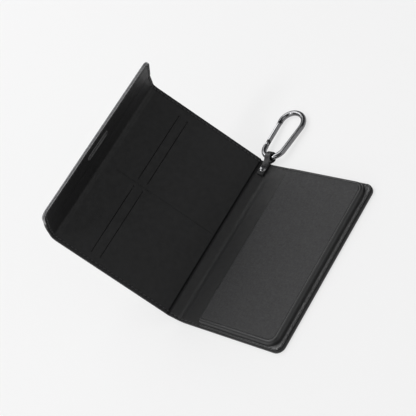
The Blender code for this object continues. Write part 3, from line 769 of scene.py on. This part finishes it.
def give_free_edge_painted_highlight(piece, limit):
    """Give the flap's free edge its polished edge paint, whose light grey colour is a painted highlight."""
    piece.data.materials.append(GLOSSY_EDGE_AND_PAINTED_HIGHLIGHT)
    tip = TRACK.points(TRACK.length, 0.0, 0.0)
    heading = TRACK.heading[-1]
    along = np.array([-math.cos(heading), 0.0, math.sin(heading)])
    for polygon in piece.data.polygons:
        centre = np.array(polygon.center)
        depth = float(np.dot(tip - centre, along))
        height = abs(centre[1]) - (HALF_HEIGHT - CORNER)
        if height > 0.0:
            radial = CORNER - math.hypot(height, CORNER - depth) if depth < CORNER else CORNER - height
        else:
            radial = depth
        if radial < limit and depth < 14 * MM:
            polygon.material_index = 1


def make_cover():
    """The skin and the lining, one closed piece of each for every stretch."""
    outer, lip = skin_rows()
    under, face = lining_rows()
    for stretch in STRETCHES:
        name = stretch.name
        skin = closed_layer("cover_skin_" + name, stretch, (outer, skin_outside), (lip, plain), COVER)
        lining = closed_layer("cover_lining_" + name, stretch, (under, plain), (face, lining_inside), LINING)
        if name == "flap":
            # The flap's free edge is coloured light grey: a painted highlight on its glossy edge paint.
            give_free_edge_painted_highlight(skin, 0.32 * MM)
            give_free_edge_painted_highlight(lining, 0.42 * MM)
        bend_with_fold(skin, stretch)
        bend_with_fold(lining, stretch)
        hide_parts(*stretch.skin)
        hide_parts(*stretch.lining)


# ---- Stitches ----

def seam_place(seam):
    """Place of a stitch on the seam's upper half: s, y and its direction in s and y."""
    for end, flipped in ((0, False), (1, True)):
        distance = SEAM_LENGTH - seam if flipped else seam
        low = HALF_HEIGHT - CORNER
        radius = SEAM_CORNERS[end]
        if distance < low:
            place = (CORNER - radius, distance, 0.0, 1.0)
        elif distance < low + radius * math.pi / 2:
            turn = (distance - low) / radius
            sin, cos = math.sin(turn), math.cos(turn)
            place = (CORNER - radius * cos, low + radius * sin, sin, cos)
        else:
            continue
        q, y, toward_s, toward_y = place
        return (TRACK.length - q, y, -toward_s, toward_y) if flipped else (q, y, toward_s, toward_y)
    s = seam - SEAM_LEADS[0]
    return s, HALF_HEIGHT - float(seam_inset(s)), 1.0, 0.0


def stitch_template(rings=9, sides=10):
    """One stitch of twisted thread along X: points and faces."""
    points = []
    for ring in range(rings):
        along = -1.0 + 2.0 * ring / (rings - 1)
        swell = math.sqrt(max(0.0, 1.0 - abs(along) ** 3.0))
        for side in range(sides):
            angle = 2 * math.pi * side / sides
            strand = 1.0 + 0.16 * math.cos(2 * angle + 5.0 * along)
            radius = THREAD_RADIUS * max(swell, 0.05) * strand
            wide = 1.15 * radius * math.cos(angle)
            high = 0.9 * radius * math.sin(angle) - 0.30 * MM * abs(along) ** 3
            points.append((along * STITCH_LENGTH / 2, wide, high))
    return np.array(points), tube_faces(rings, sides)


def stitched_top(s):
    """Height of the face that the inner stitches lie on."""
    mouth = FORE_EDGE_X - POCKET_MOUTH
    flange = 1.0 - ramp(s, mouth - 0.6 * MM, mouth + 0.6 * MM)
    return rise(s) + FLANGE_RISE * flange


def make_stitches():
    """A run of stitches on both faces of the cover for each stretch."""
    template, template_faces = stitch_template()
    slant = math.radians(9.0)
    for stretch in STRETCHES:
        points, faces = [], []
        for index in range(STITCHES):
            s, y, toward_s, toward_y = seam_place((index + 0.5) * STITCH_PITCH)
            if not stretch.start <= s < stretch.end:
                continue
            for side in (-1.0, 1.0):
                for inner in (True, False):
                    angle = math.atan2(toward_y * side, toward_s) + slant * side * (1 if inner else -1)
                    cos, sin = math.cos(angle), math.sin(angle)
                    place_s = s + template[:, 0] * cos - template[:, 1] * sin
                    place_y = y * side + template[:, 0] * sin + template[:, 1] * cos
                    level = float(stitched_top(s)) if inner else OUTER + float(outer_relief(s))
                    lift = template[:, 2] + 0.02 * MM if inner else 0.10 * MM - template[:, 2]
                    first = len(points) * len(template)
                    points.append(TRACK.points(place_s, place_y, level + lift))
                    for face in template_faces:
                        faces.append(tuple(first + i for i in (face if inner else reversed(face))))
        name = "stitches_" + stretch.name
        piece = link(name, welded_mesh(name, np.concatenate(points), faces), THREAD)
        bend_with_fold(piece, stretch)
        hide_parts(stretch.thread)


# ---- Passport pocket ----

def spread_to(places, end):
    """The same places spread out so that the last one falls on end."""
    share = (places - places[0]) / (places[-1] - places[0])
    return places[0] + share * (end - places[0])


def pocket_ring(right, half, radius, z, x_places, steps=10):
    """One level of the pocket, from the mouth's lower end round to its upper end."""
    x = spread_to(x_places, right - radius)
    y = np.linspace(-half + radius, half - radius, POCKET_ROWS)
    turn = np.linspace(0.0, math.pi / 2, steps + 1)[1:-1]
    corner_x = right - radius + radius * np.sin(turn)
    corner_y = -half + radius - radius * np.cos(turn)
    ring_x = np.concatenate([x, corner_x, np.full(POCKET_ROWS, right), corner_x[::-1], x[::-1]])
    ring_y = np.concatenate([np.full(len(x), -half), corner_y, y, -corner_y[::-1], np.full(len(x), half)])
    return np.stack([ring_x, ring_y, np.full(len(ring_x), z)], axis=-1)


def pocket_surface(name, rings, material, mouth, thickness):
    """A moulded surface through rings of (right, half, radius, z), closed by its own thickness."""
    near_mouth = [mouth + step * MM for step in (0.15, 0.35, 0.6)]
    x_places = stations(mouth, POCKET_RIGHT - POCKET_CORNER, 0.85 * MM, near_mouth)
    levels = [pocket_ring(*ring, x_places) for ring in rings]
    right, half, radius, z = rings[-1]
    inner_x = spread_to(x_places, right - radius)
    inner_y = np.linspace(-half + radius, half - radius, POCKET_ROWS)
    grid_y, grid_x = np.meshgrid(inner_y, inner_x, indexing="ij")
    inside = np.stack([grid_x.ravel(), grid_y.ravel(), np.full(grid_x.size, z)], axis=-1)
    count = len(levels[0])
    quads = grid_quads(len(levels), count)
    quads += grid_quads(len(inner_y), len(inner_x), count * len(levels))
    points = np.concatenate(levels + [inside])
    points[:, 2] += rolled_mouth(points)
    item = link(name, welded_mesh(name, points, quads, outward=False, gap=0.03 * MM), material)
    solid = item.modifiers.new("thickness", "SOLIDIFY")
    solid.thickness = thickness
    solid.offset = -1.0
    solid.use_even_offset = False
    return item


def rolled_mouth(points):
    """The pocket's top edge rolls down a little at its mouth."""
    away = np.clip((points[:, 0] - POCKET_MOUTH) / (0.8 * MM), 0.0, 1.0)
    high = points[:, 2] > POCKET_BASE + 2.5 * MM
    return -0.28 * MM * (1.0 - away) ** 2 * high


def flange_ring(inset, z):
    """A ring of the flange, inset from its outer edge."""
    edge = FLANGE_INSET + inset
    return (FORE_EDGE_X - edge, HALF_HEIGHT - edge, CORNER - edge, z)


def wall_ring(inset, z):
    """A ring of the pocket's wall or top, inset from the foot of the wall."""
    return (POCKET_RIGHT - inset, POCKET_HALF - inset, max(POCKET_CORNER - inset, 0.01 * MM), z)


def shell_rings():
    """The shell's section: flange with its stitched groove, wall, bead and the step inside it."""
    flange = ((0.0, -0.48), (0.02, -0.22), (0.10, -0.08), (0.22, 0.0), (0.42, -0.08), (0.6, -0.20))
    flange += ((0.78, -0.08), (1.0, 0.0))
    wall = ((-0.42, 0.02), (-0.2, 0.12), (-0.05, 0.4), (0.05, 1.2), (0.15, 2.4))
    rings = [flange_ring(inset * MM, FLANGE_TOP + height * MM) for inset, height in flange]
    rings += [wall_ring(inset * MM, FLANGE_TOP + height * MM) for inset, height in wall]
    bend = 1.7 * MM
    for step in range(7):
        angle = math.pi / 2 * step / 6
        inset = 0.2 * MM + bend * (1 - math.cos(angle))
        rings.append(wall_ring(inset, POCKET_TOP - bend + bend * math.sin(angle)))
    rings += [wall_ring(2.15 * MM, POCKET_TOP - 0.02 * MM), wall_ring(2.3 * MM, POCKET_TOP - 0.12 * MM)]
    rings += [wall_ring(inset, FACE_SEAT) for inset in (2.42 * MM, 3.4 * MM, POCKET_CORNER)]
    return rings


def face_rings():
    """The face's section: a low rounded edge and the flat inside it."""
    top = POCKET_TOP - 0.06 * MM
    rings = [wall_ring(2.5 * MM, FACE_SEAT + 0.08 * MM), wall_ring(2.53 * MM, top - 0.12 * MM)]
    rings.append(wall_ring(2.64 * MM, top - 0.03 * MM))
    rings += [wall_ring(inset, top) for inset in (2.85 * MM, 4.5 * MM, POCKET_CORNER)]
    return rings


def make_pocket():
    """The moulded shell with its flange and bead, and the grained face inside the bead."""
    shell = pocket_surface("pocket_shell", shell_rings(), MOULDED, POCKET_MOUTH, 0.65 * MM)
    shell.data.materials.append(PEBBLED)
    for polygon in shell.data.polygons:
        polygon.material_index = 1 if polygon.center.z < FLANGE_TOP + 0.06 * MM else 0
    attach(shell, "back_cover")
    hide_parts("passport_pocket_shell")

    face = pocket_surface("pocket_face", face_rings(), FACE, POCKET_MOUTH + 0.12 * MM, 0.3 * MM)
    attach(face, "back_cover")
    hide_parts("passport_pocket_face")


# ---- Clasp plate on the flap ----

def stadium(length, width, steps=12):
    """A slot outline round the origin: offsets along the track and up the height."""
    radius = width / 2
    reach = length / 2 - radius
    turn = np.linspace(0.0, math.pi, steps + 1)
    top = np.stack([-radius * np.cos(turn), reach + radius * np.sin(turn)], axis=-1)
    return np.concatenate([top, -top])


def make_clasp_plate():
    """An oblong cap over the magnet: a raised rim round a sunk field with a narrow slot."""
    middle = TRACK.length - CLASP_INSET
    levels = ((26.0, 5.5, -0.30), (26.0, 5.5, 0.20), (25.9, 5.4, 0.42), (25.6, 5.1, 0.56), (25.2, 4.7, 0.60))
    levels += ((24.7, 4.2, 0.56), (24.3, 3.8, 0.42), (24.0, 3.5, 0.24), (19.0, 1.9, 0.22), (18.8, 1.7, 0.14))
    levels += ((18.7, 1.6, -0.10), (18.3, 1.2, -0.14))
    points = []
    for length, width, height in levels:
        outline = stadium(length * MM, width * MM)
        points.append(TRACK.points(middle + outline[:, 0], CLASP_Y + outline[:, 1], FLAP_RISE + height * MM))
    faces = tube_faces(len(levels), len(points[0]))
    plate = link("clasp_plate", welded_mesh("clasp_plate", np.concatenate(points), faces), ENAMEL)
    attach(plate, "flap")
    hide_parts("flap_clasp_plate")


# ---- Leather loop ----

def loop_centre_line(steps=22):
    """Centre of the strap: up the lower leg, round the ring and back down the upper leg.

    Each point is (along the spine's height, height above the spine's lining, on the ring or not).
    """
    ring = Vector((HALF_HEIGHT + 4.8 * MM, RING_HEIGHT))
    tail = HALF_HEIGHT - LOOP_TAIL
    low, high = 0.1 * MM + STRAP / 2, 0.1 * MM + 1.55 * STRAP
    leave = math.radians(158.0)
    leg = np.linspace(tail, ring.x - RING_RADIUS - 2.6 * MM, 9)
    points = [(y, low, False) for y in leg]
    for angle in np.linspace(-leave, leave, steps + 1):
        points.append((ring.x + RING_RADIUS * math.cos(angle), ring.y + RING_RADIUS * math.sin(angle), True))
    return points + [(y, high, False) for y in reversed(leg)]


def softened(items, rounds=3):
    """Items of a row averaged with their neighbours, with both ends kept."""
    for _ in range(rounds):
        inner = [(a + b * 2 + c) / 4 for a, b, c in zip(items, items[1:], items[2:])]
        items = [items[0], *inner, items[-1]]
    return items


def strap_section(steps=6):
    """Outline of the strap's section with rounded sides, as (across, through) pairs."""
    reach, radius = (LOOP_WIDTH - STRAP) / 2, STRAP / 2
    section = []
    for side, start in ((1, -90), (-1, 90)):
        section += arc_points((side * reach, 0.0), radius, start, start + 180, steps)
    return section


def make_loop():
    """The strap round the carabiner's foot, held by its rivet on the spine strip."""
    slope = TRACK.heading[np.searchsorted(TRACK.fine, MID_SPINE)]
    across = Vector((-math.cos(slope), 0.0, math.sin(slope)))
    up = Vector((math.sin(slope), 0.0, math.cos(slope)))
    level_across, level_up = Vector((-1.0, 0.0, 0.0)), Vector((0.0, 0.0, 1.0))
    centre = Vector(JOINTS["spine_fold"]["pos_m"]) + across * LOOP_OFFSET
    places, widths = [], []
    for y, z, on_ring in loop_centre_line():
        rise_up = up * RING_HEIGHT + level_up * (z - RING_HEIGHT) if on_ring else up * z
        places.append(centre + Vector((0.0, y, 0.0)) + rise_up)
        widths.append(level_across if on_ring else across)
    places, widths = softened(places), softened(widths)
    section = strap_section()
    points = []
    for i, place in enumerate(places):
        ahead = (places[min(i + 1, len(places) - 1)] - places[max(i - 1, 0)]).normalized()
        width = (widths[i] - ahead * widths[i].dot(ahead)).normalized()
        normal = ahead.cross(width)
        points += [tuple(place + width * w + normal * t) for w, t in section]
    faces = tube_faces(len(places), len(section))
    loop = closed_piece("carabiner_strap", points, faces, COVER, 60.0)
    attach(loop, "spine")
    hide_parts("carabiner_loop")
    make_rivet(centre + Vector((0.0, HALF_HEIGHT - RIVET_INSET, 0.0)), up)


def make_rivet(place, up, sides=36):
    """A domed rivet through the strap and the spine, turned about its own axis."""
    top = 0.1 + 2.1 * STRAP / MM
    profile = [(0.0, top + 0.62), (0.7, top + 0.58), (1.4, top + 0.44), (2.0, top + 0.22)]
    profile += [(2.38, top), (2.5, top - 0.15), (2.42, top - 0.3), (1.2, top - 0.3)]
    profile += [(1.2, -1.55), (2.3, -1.6), (2.45, -1.75), (2.2, -1.95), (1.2, -2.1), (0.0, -2.12)]
    turn = up.to_track_quat("Z", "Y").to_matrix()
    points = []
    for radius, height in profile:
        for x, y in arc_points((0.0, 0.0), radius, 0, 360, sides)[:-1]:
            points.append(tuple(place + turn @ Vector((x, y, height)) * MM))
    faces = tube_faces(len(profile), sides, capped=False)
    rivet = closed_piece("strap_rivet", points, faces, GUNMETAL, 50.0)
    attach(rivet, "spine")
    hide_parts("loop_rivet")


# ---- Carabiner ----

def carabiner_matrix():
    """Frame of the carabiner: its ring at the origin, its length along Y, its plane in X and Y."""
    z_axis = -Vector(JOINTS["gate_swing"]["axis"]).normalized()
    x_axis = Vector((math.cos(CARABINER_SKEW), math.sin(CARABINER_SKEW), 0.0))
    y_axis = z_axis.cross(x_axis).normalized()
    x_axis = y_axis.cross(z_axis)
    turn = Matrix((x_axis, y_axis, z_axis)).transposed().to_4x4()
    return Matrix.Translation(Vector(JOINTS["carabiner_swing"]["pos_m"])) @ turn


def arc_points(centre, radius, start, end, steps):
    """Points of an arc in degrees."""
    angles = np.radians(np.linspace(start, end, steps + 1))
    return [(centre[0] + radius * math.cos(a), centre[1] + radius * math.sin(a)) for a in angles]


def bar_path():
    """Centre line of the bar, from the gate's pivot round the foot and the bow to its nose."""
    foot = (0.0, FOOT_RADIUS)
    bow = (0.0, CARABINER_TOP - BOW_RADIUS)
    shoulder = (0.0, CARABINER_TOP - SHOULDER_RADIUS)
    lean = math.degrees(math.asin((BOW_RADIUS - FOOT_RADIUS) / (bow[1] - foot[1])))
    path = [(-FOOT_RADIUS, GATE_START - GATE_GAP)]
    path += arc_points(foot, FOOT_RADIUS, 180, 360 - lean, 40)
    side = arc_points(bow, BOW_RADIUS, -lean, 90, 28)
    path += [tuple(place) for place in np.linspace(path[-1], side[0], 9)[1:-1]]
    path += side
    path += arc_points(shoulder, SHOULDER_RADIUS, 90, 180, 22)[1:]
    path.append((-FOOT_RADIUS, GATE_END + GATE_GAP))
    return path


def round_bar(path, radii, sides=28):
    """A round bar in the plane z = 0 with a radius at each point: points and faces."""
    points = []
    for i, (x, y) in enumerate(path):
        before, after = path[max(i - 1, 0)], path[min(i + 1, len(path) - 1)]
        ahead = Vector((after[0] - before[0], after[1] - before[1], 0.0)).normalized()
        side_way = Vector((ahead.y, -ahead.x, 0.0))
        for side in range(sides):
            angle = 2 * math.pi * side / sides
            offset = side_way * math.cos(angle) * radii[i]
            points.append((x + offset.x, y + offset.y, math.sin(angle) * radii[i]))
    return points, tube_faces(len(path), sides)


def with_round_ends(path, radius, rounding, steps=5):
    """Round off a bar's ends: the new path, and the radii at its start and at its end."""
    start, end = Vector(path[0]), Vector(path[-1])
    start_way = (Vector(path[1]) - start).normalized()
    end_way = (end - Vector(path[-2])).normalized()
    angles = [math.pi / 2 * i / steps for i in range(steps)]
    head = [tuple(start + start_way * rounding * (1 - math.sin(a))) for a in angles]
    tail = [tuple(end - end_way * rounding * (1 - math.sin(a))) for a in reversed(angles)]
    end_radii = [radius - rounding * (1 - math.sin(a)) for a in angles]
    return head + path[1:-1] + tail, end_radii, end_radii[::-1]


def metal_piece(name, points, faces, body, node):
    """A plated piece of the carabiner on its body."""
    item = closed_piece(name, points, faces, GUNMETAL, 40.0)
    item.data.transform(carabiner_matrix())
    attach(item, body)
    if node:
        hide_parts(node)
    return item


def cut_away(item, low, high):
    """Cut a box, given in the carabiner's frame, out of a mesh."""
    mesh = bpy.data.meshes.new("cutter")
    shape = bmesh.new()
    for corner in itertools.product(*zip(low, high)):
        shape.verts.new(carabiner_matrix() @ Vector(corner))
    bmesh.ops.convex_hull(shape, input=shape.verts)
    shape.to_mesh(mesh)
    shape.free()
    tool = in_scene("cutter", mesh)
    modifier = item.modifiers.new("cut", "BOOLEAN")
    modifier.operation = "DIFFERENCE"
    modifier.solver = "EXACT"
    modifier.object = tool
    bpy.context.view_layer.update()
    cut = bpy.data.meshes.new_from_object(item.evaluated_get(bpy.context.evaluated_depsgraph_get()))
    item.modifiers.clear()
    item.data = cut
    bpy.data.objects.remove(tool, do_unlink=True)


def make_bar():
    """The bent bar with its rounded ends."""
    path, head, tail = with_round_ends(bar_path(), BAR_RADIUS, 0.55 * MM)
    radii = head + [BAR_RADIUS] * (len(path) - len(head) - len(tail)) + tail
    points, faces = round_bar(path, radii)
    metal_piece("carabiner_bar", points, faces, "carabiner", "carabiner_body")


def make_tongue():
    """The flat tongue on the bar that the gate turns on, with broken edges."""
    half, reach, thick = 1.25 * MM, 13.4 * MM, 0.6 * MM
    outline = [(-half, 8.0 * MM), (half, 8.0 * MM)] + arc_points((0.0, reach - half), half, 0, 180, 12)
    levels = ((0.88, -thick), (1.0, -thick + 0.12 * MM), (1.0, thick - 0.12 * MM), (0.88, thick))
    points = []
    for share, z in levels:
        points += [(x * share - FOOT_RADIUS, GATE_PIN + (y - GATE_PIN) * share, z) for x, y in outline]
    metal_piece("gate_tongue", points, tube_faces(len(levels), len(outline)), "carabiner", None)


def make_gate():
    """The turned gate with a groove above its hinge and a collar at its nose, slotted for the tongue."""
    from_start = ((0.0, -0.45), (0.1, -0.2), (0.35, 0.0), (4.6, 0.0), (4.8, -0.16), (5.1, -0.16), (5.3, 0.0))
    from_end = ((-2.6, 0.0), (-2.4, 0.12), (-0.4, 0.12), (-0.12, -0.08), (0.0, -0.4))
    profile = [(GATE_START + along * MM, GATE_RADIUS + swell * MM) for along, swell in from_start]
    profile += [(GATE_END + along * MM, GATE_RADIUS + swell * MM) for along, swell in from_end]
    points, faces = round_bar([(-FOOT_RADIUS, y) for y, _ in profile], [radius for _, radius in profile])
    gate = metal_piece("gate_tube", points, faces, "gate", "carabiner_gate")
    low = (-FOOT_RADIUS - 3 * MM, GATE_START - MM, -0.85 * MM)
    high = (-FOOT_RADIUS + 3 * MM, GATE_START + 4.2 * MM, 0.85 * MM)
    cut_away(gate, low, high)
    gate.data.set_sharp_from_angle(angle=math.radians(40.0))


# ---- CAD nodes that stay ----

def finish_cad_nodes():
    """Give the CAD solids that stay their materials."""
    bags = ("card_bag_lower_rear", "card_bag_upper_rear", "card_bag_lower_front", "card_bag_upper_front")
    kept = {
        BOARD: ("back_cover_board", "front_cover_board", "flap_stiffener"),
        STEEL: ("magnet_keeper_plate", "flap_magnet", "gate_pivot_pin", "gate_spring"),
        BAG_CLOTH: bags,
    }
    for material, names in kept.items():
        for name in names:
            for slot in frame["nodes"][name].material_slots:
                slot.material = material


# ---- Studio ----

LIT_PLACE = Vector((-0.03, 0.0, 0.03))


def area_light(name, place, size, power):
    """A soft white rectangular light aimed at the cover."""
    data = bpy.data.lights.new(name, "AREA")
    data.shape = "RECTANGLE"
    data.size, data.size_y = size
    data.energy = power
    item = in_scene(name, data)
    item.location = place
    item.rotation_euler = (LIT_PLACE - Vector(place)).to_track_quat("-Z", "Y").to_euler()


def make_camera():
    """The camera, where it sees the cover from the photograph's side."""
    data = bpy.data.cameras.new("camera")
    data.lens = 104.66
    data.sensor_width = 36.0
    data.clip_start = 0.05
    data.clip_end = 20.0
    item = in_scene("camera", data)
    right = Vector((0.7257, 0.4962, -0.4765)).normalized()
    back = Vector((0.6653, -0.3299, 0.6697)).normalized()
    up = back.cross(right).normalized()
    right = up.cross(back)
    matrix = Matrix((right, up, back)).transposed().to_4x4()
    matrix.translation = (0.522436, -0.277693, 0.611213)
    item.matrix_world = matrix
    bpy.context.scene.camera = item


def make_studio():
    """A pale floor, an even pale surrounding and soft lights."""
    mesh = bpy.data.meshes.new("studio_floor")
    side = 8.0
    corners = ((-side, -side), (side, -side), (side, side), (-side, side))
    mesh.from_pydata([(x, y, -0.3 * MM) for x, y in corners], [], [(0, 1, 2, 3)])
    floor = link("studio_floor", mesh, floor_material())

    world = bpy.data.worlds.new("studio")
    world.use_nodes = True
    background = world.node_tree.nodes["Background"]
    background.inputs["Color"].default_value = (0.95, 0.97, 1.0, 1.0)
    background.inputs["Strength"].default_value = 0.12
    bpy.context.scene.world = world

    area_light("overhead", (-0.85, 0.25, 1.35), (1.3, 1.5), 20.0)
    area_light("front_fill", (0.1, -1.3, 0.7), (1.2, 0.7), 5.0)
    area_light("left_strip", (-1.1, 0.2, 0.9), (0.25, 1.2), 3.0)
    area_light("right_fill", (1.2, 0.3, 0.8), (1.2, 1.2), 4.0)
    area_light("key", (-0.25, -0.75, 1.2), (0.22, 0.22), 5.0)
    bpy.context.scene.view_settings.view_transform = "Standard"


make_camera()
make_cover()
make_stitches()
make_pocket()
make_clasp_plate()
make_loop()
make_bar()
make_tongue()
make_gate()
finish_cad_nodes()
make_studio()
